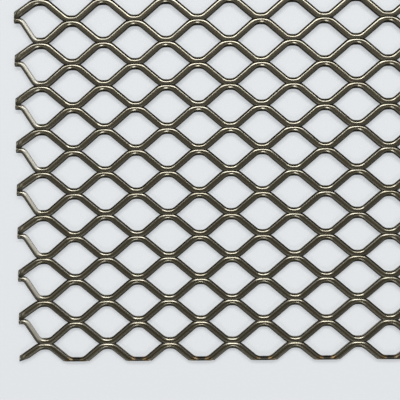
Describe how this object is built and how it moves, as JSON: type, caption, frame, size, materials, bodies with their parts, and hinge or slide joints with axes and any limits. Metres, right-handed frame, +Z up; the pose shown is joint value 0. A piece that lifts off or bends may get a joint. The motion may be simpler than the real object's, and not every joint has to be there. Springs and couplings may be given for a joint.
{
  "type": "expanded metal sheet",
  "caption": "Flat expanded steel sheet: zigzag strands joined at knuckles round diamond openings, with cut side edges; for guards, grilles, screens and infill panels.",
  "frame": {"origin": "under the middle of the sheet's outline, on the surface it lies on", "axes": "+X along the long way of the diamonds, +Y along the short way, +Z up out of the sheet"},
  "size_m": [0.199, 0.1962, 0.002],
  "materials": {
    "bare_steel": "bare, lightly oiled"
  },
  "bodies": {
    "root": {"expanded_sheet": "bare_steel"}
  },
  "joints": []
}
